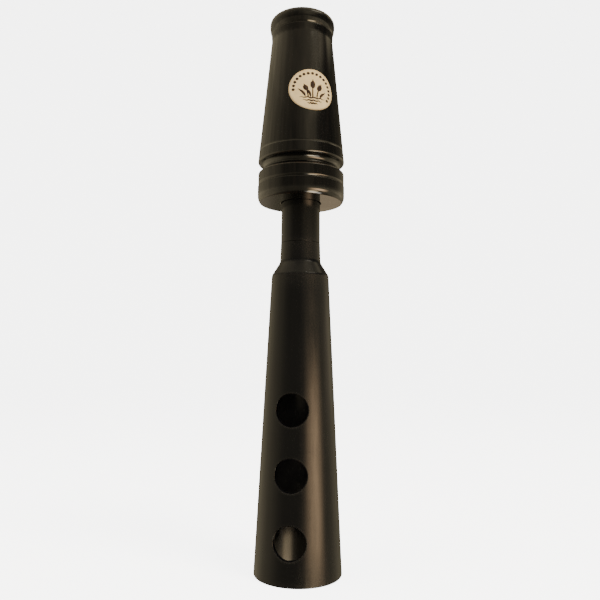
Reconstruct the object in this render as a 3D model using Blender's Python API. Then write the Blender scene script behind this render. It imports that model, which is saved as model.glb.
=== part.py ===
"""A duck call: a turned barrel over a stem, and the stem in the neck of a long belled flute.

Metres, +Z up. The origin is the centre of the bell's mouth, on which the call stands. Every
turned piece shares the Z axis, and the finger holes face -Y. Sizes are named in millimetres
and turned into metres where the meshes are made.
"""
import math

import bmesh
import bpy
from mathutils import Matrix, Vector

MM = 0.001
# Fineness
SIDES = 48              # facets round a turned piece
HOLE_SIDES = 28
RING_SIDES = 36
RING_SECTION_SIDES = 8
EDGE_STEPS = 2          # facets on an eased edge
ARC_STEPS = 3           # facets on a small arc
ROUND_STEPS = 5         # facets on a full quarter round
GROOVE_STEPS = 8
BOARD_STEPS = 8         # sections along the tone board's curve
HALF_ROUND_STEPS = 12
LABEL_SIDES = 24
SHARP_ANGLE = math.radians(35)
WELD = 1e-4             # points closer than this are one point
CUT_MARGIN = 1.0        # how far a cutter stands clear of what it cuts

EDGE_ROUND = 0.3        # rounding of an eased edge

# Clearances
GAP = 0.3               # between neighbours that rest on or clamp each other
SEAL_GAP = 0.1          # between a seal ring and the bore that it slides in
GROOVE_SIDE_GAP = 0.25  # between a seal ring and the sides of its groove

# Flute: a straight cone from the mouth to the shoulder, then a short tapered neck
MOUTH_R = 17.5
MOUTH_ROUND = 0.5
CONE_SLOPE = 0.0488     # radius lost per millimetre of height
FLUTE_WALL = 2.5
SHOULDER_Z = 118.1
SHOULDER_ROUND = 2.5
NECK_FOOT_Z = 123.6
NECK_FOOT_R = 8.35
NECK_FOOT_ROUND = 3.5
NECK_TOP_Z = 131.6
NECK_TOP_R = 8.08
NECK_BORE_R = 6.6
BORE_TOP_Z = 115.0      # where the flute's bore closes in to the neck

# Finger holes, one pitch apart
HOLE_D = 12.8
HOLE_PITCH = 24.4
LOWEST_HOLE_Z = 15.7
HOLE_COUNT = 3

# Stem: a spigot in the neck, then a 5/8 inch body that carries the barrel
STEM_R = 15.9 / 2
STEM_COLLAR = 0.1       # how far the stem's foot swells over its body
SPIGOT_R = NECK_BORE_R - GAP
SPIGOT_END_Z = 114.0
STEM_FOOT_Z = NECK_TOP_Z + GAP
STEM_TOP_Z = 178.0
STEM_TOP_ROUND = 0.5
STEM_BORE_R = 4.0
SOCKET_R = 5.4          # holds the tone board and its wedge
SOCKET_Z = 158.0

# Seal rings
NECK_SEAL_Z = 125.5
BARREL_SEAL_Z = (154.5, 168.5)
NECK_RING_R = 0.65      # radius of the ring's own round section
BARREL_RING_R = 0.8

# Barrel
BARREL_END_Z = 148.6
BARREL_TOP_Z = 227.8
FOOT_R = 18.0
FOOT_END_R = 17.05      # where the foot has drawn in to at its end face
FOOT_TURN_Z = 150.35    # where it starts to draw in, before the turn is rounded
FOOT_TURN_ROUND = 6.5
FOOT_LINE_Z = 155.8     # a line scribed between the foot and the collar
FOOT_LINE_DEPTH = 0.3
FOOT_LINE_HALF = 0.5
COLLAR_R = 17.85
COLLAR_ROUND = 0.8
GROOVE_Z = 163.0
GROOVE_R = 2.1          # radius of the lanyard groove's own round section
GROOVE_FLOOR_R = 15.4
GROOVE_LIP_ROUND = 0.8
TAPER_R = 17.52         # the cone's radius near the scribed line
TAPER_Z = 170.5
TAPER_SLOPE = 0.097
LINE_Z = 170.0          # a line scribed round the foot of the cone
LINE_DEPTH = 0.22
LINE_HALF = 0.42
WAIST_Z = 218.2
WAIST_ROUND = 14.0
WAIST_FLARE = 0.35      # how far the waist swells again below the lip
LIP_Z = 221.3           # the floor of the line below the lip
LIP_LINE_HALF = 0.45
LIP_R = 13.8
LIP_BULGE = 0.65        # how far the lip swells above that line
LIP_BULGE_Z = 223.65
LIP_BULGE_ROUND = 11.0
LIP_TOP_ROUND = 2.3
BARREL_BORE_R = STEM_R + GAP
MOUTH_BORE_R = 7.5
MOUTHPIECE_ROUND = 2.0

# Tone board, reed and wedge
BOARD_R = SOCKET_R - GAP
BOARD_END_Z = SOCKET_Z + GAP
BOARD_TIP_Z = 208.0
BOARD_CURVE_Z = 181.0   # where the board's face starts to fall away from the reed
BOARD_FALL = 0.9        # how far it falls by the tip
CHANNEL_W = 4.4
CHANNEL_DEPTH = 2.6
CHANNEL_ROUND = 1.2
CHANNEL_TIP_Z = 204.0
REED_W = 8.4
REED_T = 0.35
REED_Y = -(GAP + REED_T / 2)
REED_TAIL_Z = 166.0
REED_TIP_Z = 206.5
REED_TIP_ROUND = 3.2
WEDGE_Z = (160.0, 177.6)

# Label
LABEL_WIDTH = 19.4      # measured round the barrel
LABEL_HEIGHT = 17.5
LABEL_Z = 191.3
LABEL_TURN = math.radians(27.6)     # from -Y towards +X
LABEL_T = 0.35
LABEL_RINGS = 2         # rings of facets round the label's middle

MATERIALS = {
    "black_lacquer": ((0.012, 0.010, 0.009), 0.12, 0.0),
    "black_plastic": ((0.016, 0.014, 0.013), 0.30, 0.0),
    "seal_rubber": ((0.020, 0.020, 0.020), 0.60, 0.0),
    "board_plastic": ((0.55, 0.52, 0.44), 0.40, 0.0),
    "reed_film": ((0.72, 0.74, 0.74), 0.25, 0.0),
    "cork": ((0.42, 0.25, 0.12), 0.85, 0.0),
    "label_paper": ((0.66, 0.58, 0.42), 0.55, 0.0),
}


def clear_scene():
    for obj in list(bpy.data.objects):
        bpy.data.objects.remove(obj, do_unlink=True)


def material(name):
    found = bpy.data.materials.get(name)
    if found:
        return found
    colour, roughness, metallic = MATERIALS[name]
    made = bpy.data.materials.new(name)
    made.use_nodes = True
    shader = made.node_tree.nodes["Principled BSDF"]
    shader.inputs["Base Color"].default_value = (*colour, 1.0)
    shader.inputs["Roughness"].default_value = roughness
    shader.inputs["Metallic"].default_value = metallic
    return made


def flute_radius(z):
    return MOUTH_R - CONE_SLOPE * z


def barrel_radius(z):
    return TAPER_R - TAPER_SLOPE * (z - TAPER_Z)


# Outlines

def rounded(corners):
    """Points of a closed outline whose corners (r, z, radius, steps) are rounded off."""
    points = []
    for i, (r, z, radius, *steps) in enumerate(corners):
        here = Vector((r, z))
        if radius == 0:
            points.append(here)
            continue
        back = (Vector(corners[i - 1][:2]) - here).normalized()
        ahead = (Vector(corners[(i + 1) % len(corners)][:2]) - here).normalized()
        half = back.angle(ahead) / 2
        centre = here + (back + ahead).normalized() * (radius / math.sin(half))
        start = here + back * (radius / math.tan(half)) - centre
        end = here + ahead * (radius / math.tan(half)) - centre
        count = steps[0] if steps else ARC_STEPS
        sweep = start.angle(end)
        for k in range(count + 1):
            a = sweep * k / count
            points.append(centre + (start * math.sin(sweep - a) + end * math.sin(a)) / math.sin(sweep))
    return points


# Meshes

def finish_object(name, bm, origin, material_name):
    """Make an object of a mesh laid out in millimetres, with its origin at the point given."""
    bmesh.ops.remove_doubles(bm, verts=bm.verts, dist=WELD)
    bmesh.ops.recalc_face_normals(bm, faces=bm.faces)
    bmesh.ops.translate(bm, verts=bm.verts, vec=-Vector(origin))
    bmesh.ops.scale(bm, verts=bm.verts, vec=(MM, MM, MM))
    mesh = bpy.data.meshes.new(name)
    bm.to_mesh(mesh)
    bm.free()
    mesh.materials.append(material(material_name))
    mesh.shade_smooth()
    mesh.set_sharp_from_angle(angle=SHARP_ANGLE)
    obj = bpy.data.objects.new(name, mesh)
    obj.location = Vector(origin) * MM
    bpy.context.scene.collection.objects.link(obj)
    return obj


def turned(name, points, base_z, material_name, sides=SIDES):
    """Spin a closed outline of (r, z) points about the Z axis."""
    bm = bmesh.new()
    verts = [bm.verts.new((r, 0, z)) for r, z in points]
    for i, vert in enumerate(verts):
        bm.edges.new((verts[i - 1], vert))
    bmesh.ops.spin(bm, geom=bm.verts[:] + bm.edges[:], axis=(0, 0, 1), cent=(0, 0, 0),
                   angle=math.tau, steps=sides, use_merge=True)
    return finish_object(name, bm, (0, 0, base_z), material_name)


def lofted(name, sections, origin, material_name):
    """Join closed sections of (x, y, z) points, each with as many points, and cap both ends."""
    bm = bmesh.new()
    rings = [[bm.verts.new(point) for point in section] for section in sections]
    for low, high in zip(rings, rings[1:]):
        for i in range(len(low)):
            bm.faces.new((low[i - 1], low[i], high[i], high[i - 1]))
    bm.faces.new(rings[0])
    bm.faces.new(rings[-1])
    return finish_object(name, bm, origin, material_name)


def cut(obj, cutter):
    """Take the cutter's shape out of the object."""
    cutter.display_type = "WIRE"
    cutter.hide_render = True
    boolean = obj.modifiers.new("cut_" + cutter.name, "BOOLEAN")
    boolean.operation = "DIFFERENCE"
    boolean.object = cutter


# The flute

def make_finger_hole(name, z):
    """A round cutter through the flute's front wall."""
    bm = bmesh.new()
    bmesh.ops.create_cone(bm, cap_ends=True, segments=HOLE_SIDES, radius1=HOLE_D / 2,
                          radius2=HOLE_D / 2, depth=MOUTH_R)
    bmesh.ops.rotate(bm, verts=bm.verts, matrix=Matrix.Rotation(math.pi / 2, 3, "X"))
    bmesh.ops.translate(bm, verts=bm.verts, vec=(0, -MOUTH_R, z))
    return finish_object(name, bm, (0, 0, z), "black_plastic")


def make_flute():
    bore_top_r = flute_radius(BORE_TOP_Z) - FLUTE_WALL
    corners = [
        (MOUTH_R, 0, MOUTH_ROUND),
        (flute_radius(SHOULDER_Z), SHOULDER_Z, SHOULDER_ROUND),
        (NECK_FOOT_R, NECK_FOOT_Z, NECK_FOOT_ROUND),
        (NECK_TOP_R, NECK_TOP_Z, EDGE_ROUND, EDGE_STEPS),
        (NECK_BORE_R, NECK_TOP_Z, 0),
        (NECK_BORE_R, BORE_TOP_Z + bore_top_r - NECK_BORE_R, 0),
        (bore_top_r, BORE_TOP_Z, 0),
        (MOUTH_R - FLUTE_WALL, 0, EDGE_ROUND, EDGE_STEPS),
    ]
    flute = turned("flute_bell", rounded(corners), 0, "black_plastic")
    for k in range(HOLE_COUNT):
        cut(flute, make_finger_hole(f"finger_hole_{k + 1}", LOWEST_HOLE_Z + HOLE_PITCH * k))


# The stem and its seals

def ring_groove(ring_z, ring_r, outer_r, bore_r):
    """Corners of a square groove that leaves the seal gap under and beside its ring."""
    floor_r = bore_r - 2 * SEAL_GAP - 2 * ring_r
    half = ring_r + GROOVE_SIDE_GAP
    return [(outer_r, ring_z - half, 0), (floor_r, ring_z - half, 0),
            (floor_r, ring_z + half, 0), (outer_r, ring_z + half, 0)]


def make_stem():
    corners = [(SPIGOT_R, SPIGOT_END_Z, EDGE_ROUND, EDGE_STEPS)]
    corners += ring_groove(NECK_SEAL_Z, NECK_RING_R, SPIGOT_R, NECK_BORE_R)
    corners += [(SPIGOT_R, STEM_FOOT_Z, 0), (STEM_R + STEM_COLLAR, STEM_FOOT_Z, EDGE_ROUND, EDGE_STEPS)]
    for ring_z in BARREL_SEAL_Z:
        corners += ring_groove(ring_z, BARREL_RING_R, STEM_R, BARREL_BORE_R)
    corners += [
        (STEM_R, STEM_TOP_Z, STEM_TOP_ROUND, EDGE_STEPS),
        (SOCKET_R, STEM_TOP_Z, EDGE_ROUND, EDGE_STEPS),
        (SOCKET_R, SOCKET_Z, 0),
        (STEM_BORE_R, SOCKET_Z, 0),
        (STEM_BORE_R, SPIGOT_END_Z, 0),
    ]
    turned("stem", rounded(corners), STEM_FOOT_Z, "black_plastic")


def make_seal(name, ring_z, ring_r, bore_r):
    """A rubber ring whose outside stops just short of the bore."""
    centre_r = bore_r - SEAL_GAP - ring_r
    points = []
    for k in range(RING_SECTION_SIDES):
        a = math.tau * k / RING_SECTION_SIDES
        points.append((centre_r + ring_r * math.cos(a), ring_z + ring_r * math.sin(a)))
    turned(name, points, ring_z, "seal_rubber", sides=RING_SIDES)


# The tone board, the reed and the wedge that clamps it

def half_round(radius, face_y, z, side):
    """Points of a round section cut off flat at face_y, keeping the +Y side (1) or the -Y one (-1)."""
    edge = math.asin(side * face_y / radius)
    points = []
    for k in range(HALF_ROUND_STEPS + 1):
        a = edge + (math.pi - 2 * edge) * k / HALF_ROUND_STEPS
        points.append((radius * math.cos(a), side * radius * math.sin(a), z))
    return points


def make_tone_board():
    """A half-round board whose face curves away from the reed, with the air channel along it."""
    sections = [half_round(BOARD_R, 0, BOARD_END_Z, 1)]
    for k in range(BOARD_STEPS + 1):
        along = k / BOARD_STEPS
        z = BOARD_CURVE_Z + (BOARD_TIP_Z - BOARD_CURVE_Z) * along
        sections.append(half_round(BOARD_R, BOARD_FALL * along ** 2, z, 1))
    board = lofted("tone_board", sections, (0, 0, BOARD_END_Z), "board_plastic")

    half = CHANNEL_W / 2
    outline = rounded([
        (-half, -CUT_MARGIN, 0),
        (half, -CUT_MARGIN, 0),
        (half, CHANNEL_DEPTH, CHANNEL_ROUND),
        (-half, CHANNEL_DEPTH, CHANNEL_ROUND),
    ])
    sections = [[(x, y, z) for x, y in outline] for z in (BOARD_END_Z - CUT_MARGIN, CHANNEL_TIP_Z)]
    cut(board, lofted("air_channel", sections, (0, 0, BOARD_END_Z), "board_plastic"))


def make_reed():
    """A flat strip with a rounded tip, whose origin is where the wedge lets go of it."""
    half = REED_W / 2
    outline = rounded([
        (-half, REED_TAIL_Z, 0),
        (half, REED_TAIL_Z, 0),
        (half, REED_TIP_Z, REED_TIP_ROUND, ROUND_STEPS),
        (-half, REED_TIP_Z, REED_TIP_ROUND, ROUND_STEPS),
    ])
    sections = [[(x, y, z) for x, z in outline] for y in (REED_Y - REED_T / 2, REED_Y + REED_T / 2)]
    lofted("reed", sections, (0, REED_Y, WEDGE_Z[1]), "reed_film")


def make_wedge():
    face_y = REED_Y - REED_T / 2 - GAP
    sections = [half_round(BOARD_R, face_y, z, -1) for z in WEDGE_Z]
    lofted("wedge", sections, (0, 0, WEDGE_Z[0]), "cork")


# The barrel and its label

def scribed_line(radius_at, z, half, depth):
    """Corners of a V cut round a turned surface whose radius is given by its height."""
    return [(radius_at(z - half), z - half, 0), (radius_at(z) - depth, z, 0),
            (radius_at(z + half), z + half, 0)]


def lanyard_groove():
    """Corners of the round-bottomed groove, from its lower edge to its upper one."""
    centre_r = GROOVE_FLOOR_R + GROOVE_R
    corners = [(COLLAR_R, GROOVE_Z - GROOVE_R, COLLAR_ROUND)]
    for k in range(1, GROOVE_STEPS):
        a = math.pi * k / GROOVE_STEPS
        corners.append((centre_r - GROOVE_R * math.sin(a), GROOVE_Z - GROOVE_R * math.cos(a), 0))
    top_z = GROOVE_Z + GROOVE_R
    return corners + [(barrel_radius(top_z), top_z, GROOVE_LIP_ROUND)]


def make_barrel():
    shelf_z = STEM_TOP_Z + GAP
    waist_r = barrel_radius(WAIST_Z)
    corners = [
        (FOOT_END_R, BARREL_END_Z, EDGE_ROUND, EDGE_STEPS),
        (FOOT_R, FOOT_TURN_Z, FOOT_TURN_ROUND),
        (FOOT_R, FOOT_LINE_Z - FOOT_LINE_HALF, 0),
        (COLLAR_R - FOOT_LINE_DEPTH, FOOT_LINE_Z, 0),
        (COLLAR_R, FOOT_LINE_Z + FOOT_LINE_HALF, 0),
        *lanyard_groove(),
        *scribed_line(barrel_radius, LINE_Z, LINE_HALF, LINE_DEPTH),
        (waist_r, WAIST_Z, WAIST_ROUND, EDGE_STEPS),
        (waist_r + WAIST_FLARE, LIP_Z - LIP_LINE_HALF, 0),
        (waist_r, LIP_Z, 0),
        (LIP_R - LIP_BULGE, LIP_Z + LIP_LINE_HALF, 0),
        (LIP_R, LIP_BULGE_Z, LIP_BULGE_ROUND, EDGE_STEPS),
        (LIP_R, BARREL_TOP_Z, LIP_TOP_ROUND, ROUND_STEPS),
        (MOUTH_BORE_R, BARREL_TOP_Z, MOUTHPIECE_ROUND),
        (MOUTH_BORE_R, shelf_z, 0),
        (BARREL_BORE_R, shelf_z, 0),
        (BARREL_BORE_R, BARREL_END_Z, EDGE_ROUND, EDGE_STEPS),
    ]
    turned("barrel", rounded(corners), BARREL_END_Z, "black_lacquer")


def make_label():
    """A thin label, a little wider than it is tall, bent to the barrel's taper."""
    bm = bmesh.new()
    bmesh.ops.create_circle(bm, cap_ends=True, segments=LABEL_SIDES, radius=LABEL_HEIGHT / 2)
    centre = bm.faces[:]
    for _ in range(LABEL_RINGS):
        bmesh.ops.inset_individual(bm, faces=centre, thickness=LABEL_HEIGHT / 2 / (LABEL_RINGS + 1))
    bmesh.ops.poke(bm, faces=centre)
    sheet = bm.faces[:]
    bmesh.ops.extrude_face_region(bm, geom=sheet, use_keep_orig=True)
    back = {vert for face in sheet for vert in face.verts}
    for vert in bm.verts:
        z = LABEL_Z + vert.co.y
        r = barrel_radius(z) + GAP + (0 if vert in back else LABEL_T)
        turn = LABEL_TURN + vert.co.x * LABEL_WIDTH / LABEL_HEIGHT / r
        vert.co = (r * math.sin(turn), -r * math.cos(turn), z)
    finish_object("label", bm, (0, 0, LABEL_Z), "label_paper")


def main():
    clear_scene()
    make_flute()
    make_stem()
    make_seal("neck_seal", NECK_SEAL_Z, NECK_RING_R, NECK_BORE_R)
    make_seal("lower_barrel_seal", BARREL_SEAL_Z[0], BARREL_RING_R, BARREL_BORE_R)
    make_seal("upper_barrel_seal", BARREL_SEAL_Z[1], BARREL_RING_R, BARREL_BORE_R)
    make_tone_board()
    make_reed()
    make_wedge()
    make_barrel()
    make_label()


main()
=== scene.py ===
import math

import bmesh
import bpy
from mathutils import Matrix, Vector, noise


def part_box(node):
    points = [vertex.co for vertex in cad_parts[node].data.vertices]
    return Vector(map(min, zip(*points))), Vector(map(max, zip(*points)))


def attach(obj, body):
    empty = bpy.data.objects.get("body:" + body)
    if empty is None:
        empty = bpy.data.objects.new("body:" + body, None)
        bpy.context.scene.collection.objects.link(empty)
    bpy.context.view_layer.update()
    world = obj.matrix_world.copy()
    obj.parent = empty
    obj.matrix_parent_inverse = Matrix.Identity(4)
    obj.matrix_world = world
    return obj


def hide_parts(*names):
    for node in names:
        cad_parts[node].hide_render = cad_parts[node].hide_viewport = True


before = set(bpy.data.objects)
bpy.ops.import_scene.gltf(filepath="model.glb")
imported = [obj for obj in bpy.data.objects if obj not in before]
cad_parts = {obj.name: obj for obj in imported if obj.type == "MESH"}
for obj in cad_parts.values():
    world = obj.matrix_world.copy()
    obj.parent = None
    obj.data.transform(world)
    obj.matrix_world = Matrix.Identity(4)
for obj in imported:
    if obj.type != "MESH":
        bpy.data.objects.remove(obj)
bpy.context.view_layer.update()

MM = 0.001

# Sizes are in millimetres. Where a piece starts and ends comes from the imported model.


def reach(node):
    """Lowest and highest corner of a CAD node, in millimetres."""
    low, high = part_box(node)
    return low / MM, high / MM


FLUTE_HIGH = reach("flute_bell")[1]
STEM_LOW, STEM_HIGH = reach("stem")
BARREL_LOW, BARREL_HIGH = reach("barrel")
BOARD_LOW, BOARD_HIGH = reach("tone_board")
REED_LOW, REED_HIGH = reach("reed")
WEDGE_LOW, WEDGE_HIGH = reach("wedge")
LABEL_LOW, LABEL_HIGH = reach("label")

# Flute
MOUTH_R = FLUTE_HIGH.x
CONE_SLOPE = 0.0488
FLUTE_WALL = 2.5
SHOULDER_Z = 118.1
NECK_FOOT_Z = 123.6
NECK_FOOT_R = 8.35
NECK_TOP_Z = FLUTE_HIGH.z
NECK_TOP_R = 8.08
NECK_BORE_R = 6.6
BORE_TOP_Z = 115.0          # where the bore closes in to the neck
HOLE_R = 6.4
HOLE_EDGE = 0.3             # rounding of a finger hole's edges
LOWEST_HOLE_Z = 15.7
HOLE_PITCH = 24.4
HOLE_Z = [LOWEST_HOLE_Z + HOLE_PITCH * k for k in range(3)]
PAINTED_LIGHT_FOOT_Z = 16.0          # where the painted light on the bore's inner wall starts
PAINTED_LIGHT_FADE = 20.0            # how much higher it is full

# Stem
STEM_R = 7.95
STEM_COLLAR = 0.1           # how far its foot stands out
STEM_FOOT_GAP = 0.06        # between its foot and the flute's neck
SPIGOT_R = 6.3
STEM_BORE_R = 4.0
SOCKET_R = 5.4              # holds the tone board and its wedge
SOCKET_Z = 158.0
SEAL_FLASH = 0.02           # height of the line that the mould leaves on a seal

# Tone board
BOARD_CURVE_Z = 181.0       # where its face starts to fall away
BOARD_FALL = 0.9            # how far it falls by the tip
CHANNEL_HALF = 2.2
CHANNEL_DEPTH = 2.6
CHANNEL_TIP_Z = 204.0
CHANNEL_END = 2.6           # the stretch over which the channel's end closes

# Reed
REED_TIP_ROUND = 3.2

# Barrel
BARREL_END_Z = BARREL_LOW.z
BARREL_TOP_Z = BARREL_HIGH.z
BARREL_BORE_R = 8.25
SHELF_GAP = 0.3             # between the stem's end and the shelf in the bore
FOOT_R = BARREL_HIGH.x
FOOT_END_R = 17.05
FOOT_TURN_Z = 149.9         # corner of the rounded foot
FOOT_TURN_ROUND = 4.0
FOOT_LINE_Z = 155.8         # the line cut between foot and collar
FOOT_LINE_DEPTH = 0.3
FOOT_LINE_HALF = 0.5
COLLAR_R = 17.85
COLLAR_ROUND = 0.8
GROOVE_Z = 163.0            # the lanyard groove
GROOVE_R = 2.1
GROOVE_FLOOR_R = 15.4
GROOVE_LIP_ROUND = 0.9
TAPER_R = 17.52             # the straight taper's radius at TAPER_Z
TAPER_Z = 170.5
TAPER_SLOPE = 0.097
LINE_Z = 170.0              # the scribed line
LINE_DEPTH = 0.12
LINE_HALF = 0.42
WAIST_Z = 218.2
WAIST_FLARE = 0.15          # how far the waist widens again before the lip's line
LIP_Z = 221.3               # the line under the lip
LIP_LINE_HALF = 0.45
LIP_R = 13.8
LIP_BULGE = 0.65
LIP_BULGE_Z = 223.9
LIP_BULGE_ROUND = 9.0
LIP_LEAN = 0.30             # how far the lip draws in again above its bulge
LIP_TOP_ROUND = 2.3
MOUTH_BORE_R = 7.5
LACQUER_REACH = 9.0         # how far the lacquer runs down into the mouth

# Label, whose turn about the barrel is the CAD label's
LABEL_Z = (LABEL_LOW.z + LABEL_HIGH.z) / 2
LABEL_R = (LABEL_HIGH.z - LABEL_LOW.z) / 2
LABEL_T = 0.12
LABEL_GAP = 0.03            # between the lacquer and the label
LABEL_EDGE = 0.05           # rounding of its upper edge
LABEL_TURN = math.radians(27.6)
LABEL_WIDTH = 19.4
LABEL_STRETCH = LABEL_WIDTH / (LABEL_HIGH.z - LABEL_LOW.z)
PRINT_T = 0.02              # how far the print stands off the label
LAYER_RISE = 0.006          # how much higher each further layer of the print ends
LAYER_SINK = 0.002          # how much deeper it starts

# Fineness: facets round each turned piece, and on a rounded corner
FLUTE_SIDES = 128
STEM_SIDES = 112
SEAL_SIDES = 96
BARREL_SIDES = 160
CORNER_STEPS = 6

# Camera, level with the upper part of the bell and looking slightly up
CAMERA_TURN = math.radians(12.0)
CAMERA_DISTANCE = 252.9
CAMERA_Z = 84.5
CAMERA_RISE = math.radians(5.37)
CAMERA_ROLL = math.radians(0.5)
CAMERA_LENS = 37.1


def flute_radius(z):
    return MOUTH_R - CONE_SLOPE * z


def barrel_radius(z):
    return TAPER_R - TAPER_SLOPE * (z - TAPER_Z)


# Outlines and meshes

def rounded(corners, steps=CORNER_STEPS):
    """Points of a closed outline whose corners (r, z, radius) are rounded off."""
    points = []
    for i, (r, z, radius) in enumerate(corners):
        here = Vector((r, z))
        if radius == 0:
            points.append(here)
            continue
        back = (Vector(corners[i - 1][:2]) - here).normalized()
        ahead = (Vector(corners[(i + 1) % len(corners)][:2]) - here).normalized()
        half = back.angle(ahead) / 2
        centre = here + (back + ahead).normalized() * (radius / math.sin(half))
        start = here + back * (radius / math.tan(half)) - centre
        end = here + ahead * (radius / math.tan(half)) - centre
        sweep = start.angle(end)
        for k in range(steps + 1):
            a = sweep * k / steps
            points.append(centre + (start * math.sin(sweep - a) + end * math.sin(a)) / math.sin(sweep))
    return points


def subdivided(points, longest):
    """The outline again, with no stretch longer than the length given."""
    dense = []
    for i, point in enumerate(points):
        ahead = points[(i + 1) % len(points)]
        count = max(1, math.ceil((ahead - point).length / longest))
        dense += [point.lerp(ahead, k / count) for k in range(count)]
    return dense


def around(r, turn, z):
    """The point at radius r and height z, turned from -Y towards +X."""
    return Vector((r * math.sin(turn), -r * math.cos(turn), z))


def make_object(name, bm, materials, body, nodes=()):
    """Finish a mesh laid out in millimetres as a piece that rides on a body."""
    bmesh.ops.remove_doubles(bm, verts=bm.verts, dist=1e-4)
    bmesh.ops.recalc_face_normals(bm, faces=bm.faces)
    bmesh.ops.scale(bm, verts=bm.verts, vec=(MM, MM, MM))
    mesh = bpy.data.meshes.new(name)
    bm.to_mesh(mesh)
    bm.free()
    for material in materials:
        mesh.materials.append(material)
    mesh.shade_smooth()
    obj = bpy.data.objects.new(name, mesh)
    bpy.context.scene.collection.objects.link(obj)
    normals = obj.modifiers.new("weighted_normals", "WEIGHTED_NORMAL")
    normals.mode = "FACE_AREA"
    normals.weight = 80
    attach(obj, body)
    if nodes:
        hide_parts(*nodes)
    return obj


def spun_rings(bm, outline, sides):
    """A ring of points round the Z axis for each (r, z) point of an outline."""
    return [[bm.verts.new(around(r, math.tau * i / sides, z)) for i in range(sides)] for r, z in outline]


def bridge(bm, loops):
    """Join each closed loop of points to the next."""
    for low, high in zip(loops, loops[1:]):
        for i in range(len(low)):
            bm.faces.new((low[i - 1], low[i], high[i], high[i - 1]))


def bridge_and_cap(bm, loops):
    """Join closed loops into a body, with a face over both ends."""
    bridge(bm, loops)
    bm.faces.new(loops[0])
    bm.faces.new(loops[-1])


def turned_mesh(outline, sides):
    """A mesh of a closed outline of (r, z) points spun about the Z axis."""
    bm = bmesh.new()
    rings = spun_rings(bm, outline, sides)
    bridge(bm, rings[-1:] + rings)
    return bm


def lofted_mesh(sections):
    """A mesh of closed sections joined one to the next, with both ends capped."""
    bm = bmesh.new()
    bridge_and_cap(bm, [[bm.verts.new(point) for point in section] for section in sections])
    return bm


def add_attribute(obj, name, amount):
    """Store an amount at each point, from 0 to 1, for the materials to read."""
    layer = obj.data.attributes.new(name, "FLOAT", "POINT")
    layer.data.foreach_set("value", [amount(v.co / MM) for v in obj.data.vertices])


def add_wear(obj, amount):
    add_attribute(obj, "wear", amount)


def near(distance, width):
    """1 at no distance, falling smoothly to 0 at the width given."""
    t = max(0.0, 1.0 - abs(distance) / width)
    return t * t * (3 - 2 * t)


# Node helpers

class Nodes:
    """Builds a material's node tree with short calls."""

    def __init__(self, name):
        self.material = bpy.data.materials.new(name)
        self.material.use_nodes = True
        self.tree = self.material.node_tree
        self.shader = self.tree.nodes["Principled BSDF"]
        self.place = self.add("ShaderNodeTexCoord").outputs["Object"]

    def add(self, kind, **settings):
        node = self.tree.nodes.new(kind)
        for key, value in settings.items():
            setattr(node, key, value)
        return node

    def put(self, socket, value):
        """Link a socket, or set it where the value is a plain number or colour."""
        if isinstance(value, bpy.types.NodeSocket):
            self.tree.links.new(value, socket)
        else:
            socket.default_value = value

    def set(self, **values):
        """Set the shader's own sockets to constants."""
        for key, value in values.items():
            self.shader.inputs[key.replace("_", " ")].default_value = value

    def link(self, **values):
        """Feed the shader's own sockets."""
        for key, value in values.items():
            self.put(self.shader.inputs[key.replace("_", " ")], value)

    def scaled(self, scale):
        """Object coordinates stretched by three factors."""
        node = self.add("ShaderNodeMapping")
        self.put(node.inputs["Vector"], self.place)
        node.inputs["Scale"].default_value = scale
        return node.outputs["Vector"]

    def noise(self, size, detail=3.0, stretch=(1, 1, 1), roughness=0.55, distortion=0.0):
        """Noise whose features are about this many millimetres across."""
        node = self.add("ShaderNodeTexNoise")
        self.put(node.inputs["Vector"], self.scaled(stretch))
        node.inputs["Scale"].default_value = 1 / (size * MM)
        node.inputs["Detail"].default_value = detail
        node.inputs["Roughness"].default_value = roughness
        node.inputs["Distortion"].default_value = distortion
        return node.outputs["Fac"]

    def cells(self, size, stretch=(1, 1, 1)):
        """The distance from the middle of cells about this many millimetres across."""
        node = self.add("ShaderNodeTexVoronoi")
        self.put(node.inputs["Vector"], self.scaled(stretch))
        node.inputs["Scale"].default_value = 1 / (size * MM)
        return node.outputs["Distance"]

    def ramp(self, value, low, high, to_low=0.0, to_high=1.0):
        """Map a value smoothly from one range to another, and clamp it."""
        node = self.add("ShaderNodeMapRange", interpolation_type="SMOOTHSTEP")
        self.put(node.inputs["Value"], value)
        node.inputs["From Min"].default_value = low
        node.inputs["From Max"].default_value = high
        node.inputs["To Min"].default_value = to_low
        node.inputs["To Max"].default_value = to_high
        return node.outputs["Result"]

    def maths(self, operation, a, b=0.0):
        node = self.add("ShaderNodeMath", operation=operation)
        self.put(node.inputs[0], a)
        self.put(node.inputs[1], b)
        return node.outputs[0]

    def times(self, a, b):
        return self.maths("MULTIPLY", a, b)

    def plus(self, a, b):
        return self.maths("ADD", a, b)

    def blend(self, factor, a, b):
        """A colour between a and b."""
        node = self.add("ShaderNodeMix", data_type="RGBA")
        self.put(node.inputs["Factor"], factor)
        for socket, value in ((node.inputs[6], a), (node.inputs[7], b)):
            self.put(socket, value if isinstance(value, bpy.types.NodeSocket) else (*value, 1.0))
        return node.outputs[2]

    def attribute(self, name):
        return self.add("ShaderNodeAttribute", attribute_name=name).outputs["Fac"]

    def bump(self, height, depth, under=None):
        """A bump whose height, from 0 to 1, stands for this many millimetres."""
        node = self.add("ShaderNodeBump")
        self.put(node.inputs["Height"], height)
        node.inputs["Distance"].default_value = depth * MM
        if under is not None:
            self.put(node.inputs["Normal"], under)
        return node.outputs["Normal"]


# Materials

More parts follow.
